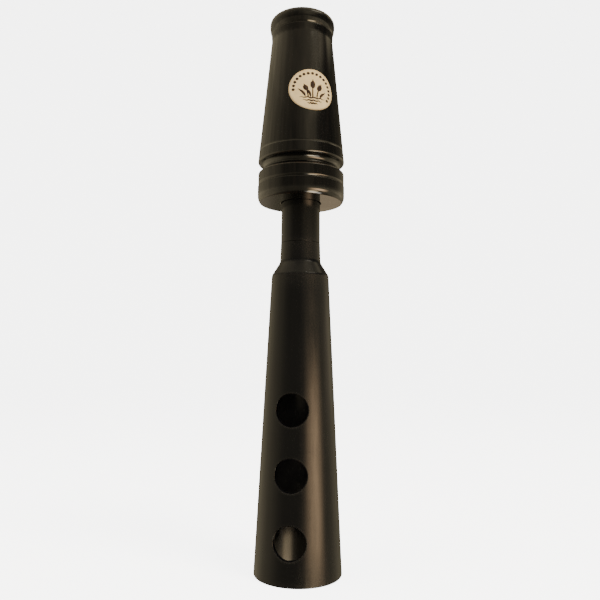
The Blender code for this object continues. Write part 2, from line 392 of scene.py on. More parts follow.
def black_plastic(name, roughness, tool_marks):
    """Satin black plastic: tool marks round it, handling streaks along it, worn edges, dust, and a bore made
    paler as painted light.
    """
    n = Nodes(name)
    cloud = n.noise(9.0, detail=4)
    streaks = n.noise(1.6, detail=3, stretch=(1, 1, 0.06))
    marks = n.noise(0.16, detail=2, stretch=(0.02, 0.02, 1))
    dust = n.ramp(n.cells(2.6), 0.055, 0.02)
    wear = n.times(n.attribute("wear"), n.ramp(n.noise(0.9, detail=4), 0.35, 0.7, 0.35, 1.0))
    colour = n.blend(cloud, (0.0030, 0.0033, 0.0040), (0.0052, 0.0053, 0.0057))
    colour = n.blend(n.times(wear, 0.40), colour, (0.030, 0.025, 0.020))
    colour = n.blend(n.times(dust, 0.10), colour, (0.09, 0.08, 0.065))
    # Painted light: the bore's inner wall is made paler from a little above the mouth upwards, standing in
    # for light reaching inside the bell.
    film = n.times(n.attribute("inside"), n.ramp(cloud, 0.3, 0.7, 0.6, 1.0))
    colour = n.blend(film, colour, (0.070, 0.064, 0.060))
    rough = n.ramp(streaks, 0.3, 0.7, roughness - 0.035, roughness + 0.05)
    rough = n.plus(rough, n.times(n.ramp(cloud, 0.3, 0.75), 0.04))
    rough = n.plus(rough, n.times(wear, 0.10))
    n.link(Base_Color=colour, Roughness=rough)
    n.set(IOR=1.49)
    fine = n.bump(marks, tool_marks)
    n.link(Normal=n.bump(n.noise(0.55, detail=3), 0.0035, under=fine))
    return n.material


def black_lacquer():
    """Gloss lacquer over stained wood: faint grain that telegraphs through, and brown at the edges."""
    n = Nodes("black_lacquer")
    grain = n.noise(1.1, detail=5, stretch=(1, 1, 0.045), distortion=0.35)
    pores = n.ramp(n.cells(0.75, stretch=(1, 1, 0.09)), 0.22, 0.05)
    cloud = n.noise(14.0, detail=3)
    wear = n.times(n.attribute("wear"), n.ramp(n.noise(1.3, detail=4), 0.38, 0.66, 0.1, 1.0))
    dark = n.blend(n.ramp(grain, 0.35, 0.7), (0.0018, 0.0021, 0.0026), (0.0052, 0.0044, 0.0040))
    colour = n.blend(n.times(wear, 0.6), dark, (0.045, 0.022, 0.011))
    n.link(Base_Color=colour, Roughness=n.ramp(cloud, 0.3, 0.7, 0.20, 0.30))
    ripple = n.bump(n.noise(5.5, detail=2), 0.006)
    n.link(Normal=n.bump(n.plus(n.times(grain, 0.8), n.times(pores, -0.5)), 0.004, under=ripple))
    n.set(Specular_IOR_Level=0.1, Coat_Weight=1.0, Coat_Roughness=0.045, Coat_IOR=1.75)
    n.link(Coat_Normal=n.bump(n.plus(n.noise(4.0, detail=2), n.times(grain, 0.10)), 0.004))
    return n.material


def bare_wood():
    """The barrel's bore: stained wood with no lacquer, ringed by the drill."""
    n = Nodes("stained_bore_wood")
    grain = n.noise(0.8, detail=5, stretch=(1, 1, 0.06), distortion=0.4)
    rings = n.noise(0.35, detail=2, stretch=(0.02, 0.02, 1))
    n.link(Base_Color=n.blend(n.ramp(grain, 0.3, 0.7), (0.018, 0.010, 0.006), (0.060, 0.032, 0.016)))
    n.link(Roughness=n.ramp(grain, 0.3, 0.7, 0.5, 0.72))
    n.link(Normal=n.bump(n.plus(n.times(grain, 0.7), n.times(rings, 0.5)), 0.03))
    return n.material


def seal_rubber():
    """Dull black rubber with a bloom and the mould's fine texture."""
    n = Nodes("seal_rubber")
    bloom = n.noise(1.4, detail=4)
    n.link(Base_Color=n.blend(n.ramp(bloom, 0.35, 0.75), (0.012, 0.012, 0.012), (0.036, 0.035, 0.033)))
    n.link(Roughness=n.ramp(bloom, 0.3, 0.7, 0.48, 0.66))
    n.link(Normal=n.bump(n.noise(0.12, detail=3), 0.008))
    return n.material


def board_plastic():
    """Bone-coloured plastic, filed along its length, darker where breath has stained it."""
    n = Nodes("board_plastic")
    filed = n.noise(0.22, detail=3, stretch=(1, 1, 0.03))
    stain = n.noise(5.0, detail=4)
    colour = n.blend(n.ramp(stain, 0.4, 0.75), (0.60, 0.55, 0.43), (0.40, 0.33, 0.22))
    n.link(Base_Color=n.blend(n.times(n.ramp(filed, 0.45, 0.7), 0.25), colour, (0.30, 0.25, 0.17)))
    n.link(Roughness=n.ramp(filed, 0.3, 0.7, 0.34, 0.52))
    n.link(Normal=n.bump(filed, 0.012))
    n.set(Subsurface_Weight=0.12, Subsurface_Scale=0.001)
    return n.material


def reed_film():
    """Milky polyester film with fine sanding lines."""
    n = Nodes("reed_film")
    haze = n.noise(3.0, detail=3)
    lines = n.noise(0.18, detail=2, stretch=(1, 1, 0.02))
    n.link(Base_Color=n.blend(haze, (0.62, 0.66, 0.67), (0.78, 0.80, 0.79)))
    n.link(Roughness=n.ramp(lines, 0.3, 0.7, 0.14, 0.30))
    n.link(Normal=n.bump(lines, 0.003))
    n.set(Transmission_Weight=0.35, IOR=1.6)
    return n.material


def cork():
    """Cork with dark pores and pale grains."""
    n = Nodes("cork")
    grains = n.cells(0.9)
    pits = n.ramp(n.noise(0.7, detail=5), 0.56, 0.68)
    colour = n.blend(n.ramp(grains, 0.1, 0.7), (0.46, 0.28, 0.14), (0.30, 0.16, 0.075))
    n.link(Base_Color=n.blend(pits, colour, (0.07, 0.035, 0.018)))
    n.link(Roughness=n.ramp(grains, 0.0, 0.8, 0.78, 0.92))
    n.link(Normal=n.bump(n.maths("SUBTRACT", grains, n.times(pits, 0.9)), 0.12))
    return n.material


def label_paper():
    """Cream varnished paper, yellowed towards its edge, with fibres and a few scuffs."""
    n = Nodes("label_paper")
    fibres = n.noise(0.35, detail=5, stretch=(1, 1, 0.4))
    foxing = n.noise(3.2, detail=4)
    scuffs = n.ramp(n.noise(1.1, detail=5, stretch=(1, 1, 0.2)), 0.62, 0.72)
    colour = n.blend(n.ramp(foxing, 0.35, 0.7), (0.89, 0.66, 0.33), (0.80, 0.57, 0.27))
    colour = n.blend(n.times(n.ramp(fibres, 0.4, 0.7), 0.25), colour, (0.66, 0.47, 0.23))
    colour = n.blend(n.times(n.attribute("wear"), 0.6), colour, (0.40, 0.27, 0.14))
    n.link(Base_Color=n.blend(n.times(scuffs, 0.3), colour, (0.34, 0.25, 0.15)))
    n.link(Roughness=n.ramp(fibres, 0.3, 0.7, 0.36, 0.5))
    n.link(Normal=n.bump(fibres, 0.01))
    return n.material


def label_ink():
    """Dark brown printing ink, thin in places."""
    n = Nodes("label_ink")
    thin = n.ramp(n.noise(0.5, detail=4), 0.5, 0.75)
    n.link(Base_Color=n.blend(thin, (0.030, 0.014, 0.007), (0.085, 0.045, 0.022)))
    n.link(Roughness=n.ramp(thin, 0.0, 1.0, 0.35, 0.5))
    n.link(Normal=n.bump(n.noise(0.2, detail=3), 0.004))
    return n.material


# The flute

PATCH_COLUMNS = 14          # facets each side of the holes' middle line that a patch takes
PATCH_HALF = 8.8            # a patch's half height
PATCH_ROWS = 20


def flute_heights():
    """Heights of the rows along the cone, with an even set across each hole's patch."""
    heights = []
    for z in HOLE_Z:
        heights += [z - PATCH_HALF + 2 * PATCH_HALF * k / PATCH_ROWS for k in range(PATCH_ROWS + 1)]
    row, gap_rows = 2.0, 4
    lowest, highest = 1.5, BORE_TOP_Z - 2.0     # clear of the rounded corners
    first, last = HOLE_Z[0] - PATCH_HALF, HOLE_Z[-1] + PATCH_HALF
    heights += [first - row * k for k in range(1, int((first - lowest) / row) + 1)]
    for low, high in zip(HOLE_Z, HOLE_Z[1:]):
        gap_low, gap_high = low + PATCH_HALF, high - PATCH_HALF
        heights += [gap_low + (gap_high - gap_low) * k / gap_rows for k in range(1, gap_rows)]
    heights += [last + row * k for k in range(1, int((highest - last) / row) + 1)]
    return sorted(heights)


def flute_outline(heights):
    """The whole closed outline, and where the outer and the inner rows of the cone start in it."""
    bore_top_r = flute_radius(BORE_TOP_Z) - FLUTE_WALL
    corners = [
        (MOUTH_R, 0, 0.5),
        (flute_radius(SHOULDER_Z), SHOULDER_Z, 2.5),
        (NECK_FOOT_R, NECK_FOOT_Z, 3.5),
        (NECK_TOP_R, NECK_TOP_Z, 0.15),
        (NECK_BORE_R, NECK_TOP_Z, 0.25),
        (NECK_BORE_R, BORE_TOP_Z + bore_top_r - NECK_BORE_R, 0.4),
        (bore_top_r, BORE_TOP_Z, 1.0),
        (MOUTH_R - FLUTE_WALL, 0, 0.4),
    ]
    points = rounded(corners)
    per_corner = CORNER_STEPS + 1
    outer = [Vector((flute_radius(z), z)) for z in heights]
    inner = [Vector((flute_radius(z) - FLUTE_WALL, z)) for z in reversed(heights)]
    outline = points[:per_corner] + outer + points[per_corner:-per_corner] + inner + points[-per_corner:]
    return outline, per_corner, len(outline) - per_corner - len(inner)


def hole_loop(rings, low_row, high_row):
    """The grid's points round a hole's patch, in order, starting at its lower left corner."""
    step = 1 if high_row > low_row else -1
    rows = list(range(low_row, high_row + step, step))
    m = PATCH_COLUMNS
    loop = [rings[low_row][i] for i in range(-m, m)]
    loop += [rings[j][m] for j in rows[:-1]]
    loop += [rings[high_row][i] for i in range(m, -m, -1)]
    loop += [rings[j][-m] for j in reversed(rows[1:])]
    return loop


def fill_hole_patch(bm, outer_loop, inner_loop, centre_z):
    """Join the outer patch's edge to the inner one through a round hole with rounded edges."""
    angles = [math.atan2(v.co.z - centre_z, v.co.x) for v in outer_loop]

    def on_wall(x, z, thickness):
        return -math.sqrt((flute_radius(z) - thickness) ** 2 - x * x)

    def circle(radius, thickness, sink):
        ring = []
        for a in angles:
            x, z = radius * math.cos(a), centre_z + radius * math.sin(a)
            ring.append(Vector((x, on_wall(x, z, thickness) + sink, z)))
        return ring

    def spread(loop, ring, thickness, steps, crowding=1.6):
        """Rings from a patch's edge to the hole's, closer together near the hole."""
        rings = []
        for k in range(1, steps):
            s = 1 - (1 - k / steps) ** crowding
            between = []
            for vert, end in zip(loop, ring):
                x = vert.co.x + (end.x - vert.co.x) * s
                z = vert.co.z + (end.z - vert.co.z) * s
                between.append(Vector((x, on_wall(x, z, thickness), z)))
            rings.append(between)
        return rings

    edge_steps = 5
    outer_edge, inner_edge = [], []
    for k in range(edge_steps + 1):
        t = math.pi / 2 * k / edge_steps
        radius = HOLE_R + HOLE_EDGE * (1 - math.sin(t))
        sink = HOLE_EDGE * (1 - math.cos(t))
        outer_edge.append(circle(radius, 0, sink))
        inner_edge.append(circle(radius, FLUTE_WALL, -sink))
    rings = spread(outer_loop, outer_edge[0], 0, 8) + outer_edge
    rings += [[a.lerp(b, k / 3) for a, b in zip(outer_edge[-1], inner_edge[-1])] for k in (1, 2)]
    rings += inner_edge[::-1] + spread(inner_loop, inner_edge[0], FLUTE_WALL, 6)[::-1]
    loops = [outer_loop] + [[bm.verts.new(point) for point in ring] for ring in rings] + [inner_loop]
    bridge(bm, loops)


def make_flute(material):
    """The bell: a turned shell with three round holes cut through its front."""
    heights = flute_heights()
    outline, outer_start, inner_start = flute_outline(heights)
    bm = bmesh.new()
    rings = spun_rings(bm, outline, FLUTE_SIDES)
    patches = []
    for z in HOLE_Z:
        low = heights.index(z - PATCH_HALF)
        high = low + PATCH_ROWS
        outer = (outer_start + low, outer_start + high)
        inner = (inner_start + len(heights) - 1 - low, inner_start + len(heights) - 1 - high)
        patches.append((z, outer, inner))

    def in_patch(j, i):
        """Whether the cell between rows j - 1 and j, and columns i - 1 and i, is part of a patch."""
        column = (i + FLUTE_SIDES // 2) % FLUTE_SIDES - FLUTE_SIDES // 2
        if not -PATCH_COLUMNS < column <= PATCH_COLUMNS:
            return False
        return any(low < j <= high or end < j <= start
                   for _, (low, high), (start, end) in patches)

    for j in range(len(rings)):
        for i in range(FLUTE_SIDES):
            if not in_patch(j, i):
                bm.faces.new((rings[j - 1][i - 1], rings[j - 1][i], rings[j][i], rings[j][i - 1]))
    for z, outer, inner in patches:
        fill_hole_patch(bm, hole_loop(rings, *outer), hole_loop(rings, *inner), z)
    flute = make_object("flute_bell_skin", bm, [material], "flute", ["flute_bell"])

    def wear(p):
        r = math.hypot(p.x, p.y)
        amount = near(p.z, 1.6) * near(r - MOUTH_R, 2.5)
        amount = max(amount, 0.8 * near(p.z - SHOULDER_Z + 0.6, 1.2))
        amount = max(amount, 0.7 * near(p.z - NECK_TOP_Z, 0.8))
        if p.y < 0 and r > flute_radius(p.z) - 0.6:
            for z in HOLE_Z:
                amount = max(amount, near(math.hypot(p.x, p.z - z) - HOLE_R - 0.15, 0.75))
        return amount

    add_wear(flute, wear)

    # Where the bore gets painted light: none near the mouth, rising to full higher up, on the inner wall
    # only.
    def inside(p):
        wall_r = NECK_BORE_R if p.z > BORE_TOP_Z else flute_radius(p.z) - FLUTE_WALL
        depth = min(1.0, max(0.0, (p.z - PAINTED_LIGHT_FOOT_Z) / PAINTED_LIGHT_FADE))
        return depth * (math.hypot(p.x, p.y) < wall_r + 0.2)

    add_attribute(flute, "inside", inside)


# The stem, its seals and what it holds

def seal_groove(node, outer_r):
    """Corners of the groove round a seal ring, from its lower edge to its upper one."""
    low, high = reach(node)
    floor_gap, side_gap, edge = 0.1, 0.25, 0.12
    floor_r = high.x - (high.z - low.z) - floor_gap
    return [(outer_r, low.z - side_gap, edge), (floor_r, low.z - side_gap, edge),
            (floor_r, high.z + side_gap, edge), (outer_r, high.z + side_gap, edge)]


def make_stem(material):
    """The stem: a spigot, a body with two seal grooves, and the tone board's socket."""
    foot_z = NECK_TOP_Z + STEM_FOOT_GAP
    corners = [(SPIGOT_R, STEM_LOW.z, 0.3)]
    corners += seal_groove("neck_seal", SPIGOT_R)
    corners += [(SPIGOT_R, foot_z, 0), (STEM_R + STEM_COLLAR, foot_z, 0.15)]
    corners += seal_groove("lower_barrel_seal", STEM_R)
    corners += seal_groove("upper_barrel_seal", STEM_R)
    corners += [
        (STEM_R, STEM_HIGH.z, 0.5),
        (SOCKET_R, STEM_HIGH.z, 0.3),
        (SOCKET_R, SOCKET_Z, 0.2),
        (STEM_BORE_R, SOCKET_Z, 0.3),
        (STEM_BORE_R, STEM_LOW.z, 0.4),
    ]
    bm = turned_mesh(subdivided(rounded(corners), 2.0), STEM_SIDES)
    stem = make_object("stem_skin", bm, [material], "stem", ["stem"])

    def wear(p):
        r = math.hypot(p.x, p.y)
        amount = 0.8 * near(p.z - foot_z, 0.7) * near(r - STEM_R, 0.8)
        return max(amount, near(p.z - STEM_HIGH.z, 1.0), 0.6 * near(p.z - STEM_LOW.z, 0.8))

    add_wear(stem, wear)


def make_seal(node, material, body):
    """A round rubber ring with the fine flash line that its mould leaves."""
    low, high = reach(node)
    ring_r = (high.z - low.z) / 2
    centre_r = high.x - ring_r
    centre_z = (low.z + high.z) / 2
    steps = 24
    outline = []
    for k in range(steps):
        a = math.tau * k / steps
        flash = SEAL_FLASH if k in (0, steps // 2) else 0.0
        radius = ring_r - SEAL_FLASH + flash
        outline.append(Vector((centre_r + radius * math.cos(a), centre_z + radius * math.sin(a))))
    make_object(node + "_ring", turned_mesh(outline, SEAL_SIDES), [material], body, [node])


def half_round(radius, face_y, z, side):
    """A round section cut off flat at face_y, with its two corners eased."""
    steps, edge = 28, 0.25
    corner = math.asin(side * face_y / radius)
    inset = edge / radius
    start, end = corner + inset, math.pi - corner - inset
    points = [(radius * math.cos(start + (end - start) * k / steps),
               side * radius * math.sin(start + (end - start) * k / steps), z) for k in range(steps + 1)]
    flat_x = math.sqrt(radius ** 2 - face_y ** 2) - edge
    soft = edge * 0.3
    return points + [
        (-flat_x - edge + soft, face_y + side * soft, z),
        (-flat_x, face_y, z),
        (flat_x, face_y, z),
        (flat_x + edge - soft, face_y + side * soft, z),
    ]


def bevel_edges(obj, width, segments=3, angle=35):
    """Round the sharp edges, before the weighted normals are worked out."""
    bevel = obj.modifiers.new("rounded_edges", "BEVEL")
    bevel.width = width * MM
    bevel.segments = segments
    bevel.limit_method = "ANGLE"
    bevel.angle_limit = math.radians(angle)
    obj.modifiers.move(len(obj.modifiers) - 1, 0)


def channel_section(z, face_y, half, depth):
    """The tone board's section: half round, with the air channel sunk into its flat face."""
    points = half_round(BOARD_HIGH.x, face_y, z, 1)
    floor = []
    steps, squareness = 10, 0.6
    for k in range(steps + 1):
        a = math.pi * k / steps
        floor.append((-half * math.cos(a), face_y + depth * math.sin(a) ** squareness, z))
    return points[:-2] + floor + points[-2:]


def make_tone_board(material):
    """A half-round board whose face falls away towards its tip, with a channel that ends short of it."""
    curve_length = BOARD_HIGH.z - BOARD_CURVE_Z
    least_half, least_depth = 0.02, 0.0005      # of the channel's traces past its end
    heights = [BOARD_LOW.z, BOARD_LOW.z + 0.2] + [BOARD_LOW.z + 4.0 * k for k in range(1, 6)]
    steps = 40
    heights += [BOARD_CURVE_Z + curve_length * k / steps for k in range(steps + 1)]
    sections = []
    for z in sorted(set(heights)):
        along = max(0.0, z - BOARD_CURVE_Z) / curve_length
        to_tip = min(1.0, max(0.0, (CHANNEL_TIP_Z - z) / CHANNEL_END))
        closing = math.sqrt(max(0.0, 1 - (1 - to_tip) ** 2))
        half = max(least_half, CHANNEL_HALF * closing)
        depth = max(least_depth, CHANNEL_DEPTH * closing)
        sections.append(channel_section(z, BOARD_FALL * along ** 2, half, depth))
    make_object("tone_board_shaped", lofted_mesh(sections), [material], "stem",
                ["tone_board"])


def make_reed(material):
    """A thin strip with a rounded tip."""
    outline = rounded([
        (REED_LOW.x, REED_LOW.z, 0.2),
        (REED_HIGH.x, REED_LOW.z, 0.2),
        (REED_HIGH.x, REED_HIGH.z, REED_TIP_ROUND),
        (REED_LOW.x, REED_HIGH.z, REED_TIP_ROUND),
    ], steps=10)
    bm = lofted_mesh([[(x, y, z) for x, z in outline] for y in (REED_LOW.y, REED_HIGH.y)])
    reed = make_object("reed_strip", bm, [material], "reed", ["reed"])
    bevel_edges(reed, 0.06, segments=2)


def make_wedge(material):
    """A cork segment, slightly uneven where it was cut."""
    radius = -WEDGE_LOW.y
    round_inset, face_inset = 0.08, 0.04        # room for the unevenness
    unevenness = 0.035
    sections = []
    steps = 18
    for k in range(steps + 1):
        z = WEDGE_LOW.z + (WEDGE_HIGH.z - WEDGE_LOW.z) * k / steps
        section = []
        for x, y, _ in half_round(radius - round_inset, WEDGE_HIGH.y - face_inset, z, -1):
            swell = 1 + unevenness * noise.noise(Vector((x * 0.9, y * 0.9, z * 0.7))) / radius
            section.append((x * swell, y * swell, z))
        sections.append(section)
    wedge = make_object("wedge_cork", lofted_mesh(sections), [material], "stem", ["wedge"])
    bevel_edges(wedge, 0.25, angle=50)


# The barrel

def barrel_outline():
    """The closed outline, from the foot's end up the outside, then down the bore."""
    shelf_z = STEM_HIGH.z + SHELF_GAP
    groove_arc = []
    steps, open_steps = 24, 4       # the arc's ends are left open, for the rounded lips
    for k in range(open_steps, steps - open_steps + 1):
        a = math.pi * k / steps
        groove_arc.append((GROOVE_FLOOR_R + GROOVE_R - GROOVE_R * math.sin(a),
                           GROOVE_Z - GROOVE_R * math.cos(a), 0))
    groove_top_z = GROOVE_Z + GROOVE_R
    waist_r = barrel_radius(WAIST_Z)
    corners = [
        (FOOT_END_R, BARREL_END_Z, 0.3),
        (FOOT_R, FOOT_TURN_Z, FOOT_TURN_ROUND),
        (FOOT_R, FOOT_LINE_Z - FOOT_LINE_HALF, 0.3),
        (COLLAR_R - FOOT_LINE_DEPTH, FOOT_LINE_Z, 0.12),
        (COLLAR_R, FOOT_LINE_Z + FOOT_LINE_HALF, 1.0),
        (COLLAR_R, GROOVE_Z - GROOVE_R, COLLAR_ROUND),
        *groove_arc,
        (barrel_radius(groove_top_z), groove_top_z, GROOVE_LIP_ROUND),
        (barrel_radius(LINE_Z - LINE_HALF), LINE_Z - LINE_HALF, 0.3),
        (barrel_radius(LINE_Z) - LINE_DEPTH, LINE_Z, 0.08),
        (barrel_radius(LINE_Z + LINE_HALF), LINE_Z + LINE_HALF, 1.0),
        (waist_r, WAIST_Z, 14.0),
        (waist_r + WAIST_FLARE, LIP_Z - LIP_LINE_HALF, 0.35),
        (waist_r - 0.06, LIP_Z, 0.12),
        (LIP_R - LIP_BULGE, LIP_Z + LIP_LINE_HALF, 0.12),
        (LIP_R, LIP_BULGE_Z, LIP_BULGE_ROUND),
        (LIP_R - LIP_LEAN, BARREL_TOP_Z, LIP_TOP_ROUND),
        (MOUTH_BORE_R, BARREL_TOP_Z, 2.0),
        (MOUTH_BORE_R, shelf_z, 0),
        (BARREL_BORE_R, shelf_z, 0),
        (BARREL_BORE_R, BARREL_END_Z, 0.3),
    ]
    return subdivided(rounded(corners, steps=8), 1.5)


def make_barrel(lacquer, wood):
    """The turned barrel, with bare wood in its bore below the mouth."""
    bm = turned_mesh(barrel_outline(), BARREL_SIDES)
    for face in bm.faces:
        middle = face.calc_center_median()
        in_bore = math.hypot(middle.x, middle.y) < BARREL_BORE_R + 0.05
        face.material_index = int(in_bore and middle.z < BARREL_TOP_Z - LACQUER_REACH)
    barrel = make_object("barrel_turned", bm, [lacquer, wood], "barrel", ["barrel"])

    def wear(p):
        r = math.hypot(p.x, p.y)
        amount = 0.9 * near(p.z - BARREL_END_Z, 0.7) * near(r - FOOT_END_R, 0.8)
        for z in (GROOVE_Z - GROOVE_R, GROOVE_Z + GROOVE_R):
            amount = max(amount, 0.8 * near(p.z - z, 0.7) * near(r - COLLAR_R, 0.7))
        return max(amount, 0.7 * near(p.z - BARREL_TOP_Z, 1.2))

    add_wear(barrel, wear)


# The label

def on_label(u, w, lift):
    """The point u round and w up from the label's middle, lifted off the barrel.

    They are laid out on a round label, which is then stretched a little round the barrel.
    """
    z = LABEL_Z + w
    r = barrel_radius(z) + lift
    return around(r, LABEL_TURN + u * LABEL_STRETCH / r, z)


def make_label(material):
    """A thin disc, bent round the barrel, with a softened upper edge."""
    spokes, rings = 96, 14
    bm = bmesh.new()
    base, lift = LABEL_GAP, LABEL_GAP + LABEL_T

    def ring(radius, height):
        return [bm.verts.new(on_label(radius * math.cos(math.tau * i / spokes),
                                      radius * math.sin(math.tau * i / spokes), height))
                for i in range(spokes)]

    middle_low, middle_high = bm.verts.new(on_label(0, 0, base)), bm.verts.new(on_label(0, 0, lift))
    low = [ring(LABEL_R * k / rings, base) for k in range(1, rings + 1)]
    high = [ring((LABEL_R - LABEL_EDGE) * k / rings, lift) for k in range(1, rings + 1)]
    shoulder = [ring(LABEL_R - 0.2 * LABEL_EDGE, lift - 0.7 * LABEL_EDGE)]
    bridge(bm, low + shoulder + high[::-1])
    for i in range(spokes):
        bm.faces.new((middle_low, low[0][i], low[0][i - 1]))
        bm.faces.new((middle_high, high[0][i - 1], high[0][i]))
    label = make_object("label_disc", bm, [material], "barrel", ["label"])

    def wear(p):
        u = (math.atan2(p.x, -p.y) - LABEL_TURN) * math.hypot(p.x, p.y) / LABEL_STRETCH
        return near(math.hypot(u, p.z - LABEL_Z) - LABEL_R, 0.9)

    add_wear(label, wear)


def print_strip(bm, points, widths, layer=0):
    """A printed stroke along points (u, w), as a thin closed body on the label.

    Strokes that cross lie on different layers, so that no two share a surface.
    """
    top = LABEL_GAP + LABEL_T + PRINT_T + LAYER_RISE * layer
    base = LABEL_T - LAYER_SINK * layer
    rows = []
    for k, point in enumerate(points):
        middle = Vector(point)
        along = (Vector(points[min(k + 1, len(points) - 1)]) - Vector(points[max(k - 1, 0)])).normalized()
        side = Vector((-along.y, along.x)) * widths[k] / 2
        section = [(middle + side, top), (middle, top), (middle - side, top), (middle - side, base),
                   (middle, base), (middle + side, base)]
        rows.append([bm.verts.new(on_label(*place, lift)) for place, lift in section])
    bridge_and_cap(bm, rows)


def tapered(count, widest, ends=0.12):
    """Widths of a stroke that swells from its ends to its middle."""
    return [ends + (widest - ends) * math.sin(math.pi * k / (count - 1)) for k in range(count)]


def make_label_print(material):
    """An arc of dots over three reeds that stand in ripples of water."""
    bm = bmesh.new()
    dots, dot_half = 17, 0.56
    dot_r = LABEL_R - 1.75
    first_dot, sweep = -32, 214         # degrees round the label from its right
    for k in range(dots):
        a = math.radians(first_dot + sweep * k / (dots - 1))
        middle = Vector((math.cos(a), math.sin(a))) * dot_r
        across = Vector((-math.sin(a), math.cos(a))) * dot_half
        print_strip(bm, [middle + across * t for t in (-1, -0.6, 0, 0.6, 1)], [0.35, 0.96, 1.20, 0.96, 0.35])

    water_w = -3.2
    steps = 12
    for base_u, top_u, top_w in ((-1.6, -3.1, 2.2), (0.1, 0.3, 4.4), (1.7, 3.6, 2.8)):
        stalk = []
        for k in range(steps + 1):
            t = k / steps
            stalk.append((base_u + (top_u - base_u) * t ** 1.6, water_w + (top_w - water_w) * t))
        print_strip(bm, stalk, [0.50 - 0.2 * k / steps for k in range(steps + 1)])
        print_strip(bm, stalk[6:12], [0.7, 1.6, 1.8, 1.8, 1.6, 0.6], layer=1)     # the reed's head

    steps = 10
    for base_u, lean, height in ((-2.7, -2.6, 3.4), (3.0, 2.3, 2.8), (-0.7, -1.5, 3.6)):
        leaf = []
        for k in range(steps + 1):
            t = k / steps
            leaf.append((base_u + lean * t ** 2, water_w - 0.1 + height * t))
        print_strip(bm, leaf, tapered(steps + 1, 0.95), layer=2)

    steps, wave = 24, 0.16
    for w, half in ((-3.5, 4.8), (-4.7, 3.6), (-5.9, 2.0)):
        ripple = [(half * (2 * k / steps - 1), w + wave * math.sin(k * math.pi / 3))
                  for k in range(steps + 1)]
        print_strip(bm, ripple, tapered(steps + 1, 0.62), layer=3)
    make_object("label_print", bm, [material], "barrel")


# The studio, whose room and floor are in metres

ROOM_R = 0.9
ROOM_Z = 0.1

# What the gloss reflects, by direction: azimuth is counted in degrees from the camera's side towards
# its right, and elevation up from level. Each ring lists how bright the room is at some azimuths.
LOW_RING = [(-180, 0.11), (-165, 0.15), (-135, 0.62), (-112, 0.76), (-90, 0.68), (-70, 0.50), (-55, 0.32),
            (-40, 0.20), (0, 0.18), (12, 0.30), (25, 0.45), (50, 0.58), (80, 0.50), (100, 0.52),
            (125, 0.60), (150, 0.30), (180, 0.11)]
FOOT_RING = [(-180, 0.10), (-150, 0.20), (-121, 0.42), (-102, 0.49), (-86, 0.42), (-72, 0.34), (-58, 0.22),
             (-50, 0.10), (-24, 0.07), (-3, 0.09), (8, 0.13), (19, 0.18), (30, 0.12), (41, 0.08),
             (94, 0.09), (111, 0.18), (133, 0.24), (160, 0.20), (180, 0.10)]
MID_RING = [(-180, 0.08), (-145, 0.30), (-114, 0.44), (-98, 0.43), (-82, 0.34), (-68, 0.28), (-55, 0.19),
            (-43, 0.145), (-30, 0.125), (-18, 0.10), (-7, 0.15), (4, 0.22), (15, 0.36), (27, 0.35),
            (38, 0.30), (48, 0.12), (58, 0.06), (93, 0.035), (112, 0.07), (180, 0.08)]
HIGH_RING = [(-180, 0.24), (-142, 0.42), (-112, 0.58), (-93, 0.50), (-77, 0.40), (-62, 0.31), (-48, 0.19),
             (-30, 0.145), (-12, 0.15), (0, 0.20), (12, 0.33), (30, 0.52), (45, 0.51), (56, 0.40),
             (66, 0.24), (76, 0.10), (90, 0.035), (150, 0.05), (180, 0.24)]
UPPER_RING = [(-180, 0.28), (-142, 0.50), (-112, 0.68), (-93, 0.58), (-80, 0.50), (-66, 0.46), (-50, 0.26),
              (-30, 0.21), (-15, 0.22), (0, 0.29), (23, 0.36), (38, 0.44), (54, 0.50), (72, 0.50),
              (80, 0.38), (90, 0.18), (104, 0.07), (150, 0.10), (180, 0.28)]
# Each ring with the elevations between which the one below it gives way to it
HIGHER_RINGS = [(FOOT_RING, (17.0, 18.8)), (MID_RING, (21.5, 29)), (HIGH_RING, (35.4, 37.2)),
                (UPPER_RING, (38.5, 42))]
RING_COLOUR = (1.0, 0.86, 0.56)
# How bright the ceiling is, by azimuth again
TOP_RING = [(-180, 0.40), (-110, 0.60), (-70, 0.62), (-40, 0.46), (-5, 0.46), (18, 0.58), (35, 0.78),
            (75, 0.80), (95, 0.62), (140, 0.42), (180, 0.40)]

# Lamps: the azimuths between which it fades in and out, the same for the elevations, colour, strength
LAMPS = [
    ((12, 50, 50, 80), (-20.5, -17.5, -1, 3), (1.0, 0.67, 0.39), 6.2),      # warm bench, low on the right
    ((6, 40, 62, 70), (-50, -46, -40, -34), (1.0, 0.94, 0.82), 5.0),        # small lamp below
    ((16, 29, 42, 56), (-60, -45, -27, -23), (1.0, 0.77, 0.46), 5.4),       # pale ground in front
    ((30, 45, 70, 84), (44, 46, 50, 53), (1.0, 0.92, 0.76), 3.0),           # small lamp above
    ((95, 112, 130, 175), (36, 42, 60, 75), (1.0, 0.86, 0.56), 0.60),       # pale wall, high on the right
    ((85, 105, 125, 140), (-6, -1, 6, 10), (1.0, 0.80, 0.55), 0.30),        # pale wall, level on the right
    ((170, 176, 179, 181), (-20, -16.5, -8, -5), (1.0, 0.76, 0.50), 0.44),  # pale things behind
    ((-177.5, -174.5, -170, -160), (-20, -16.5, -8, -5), (1.0, 0.84, 0.62), 0.20),
]


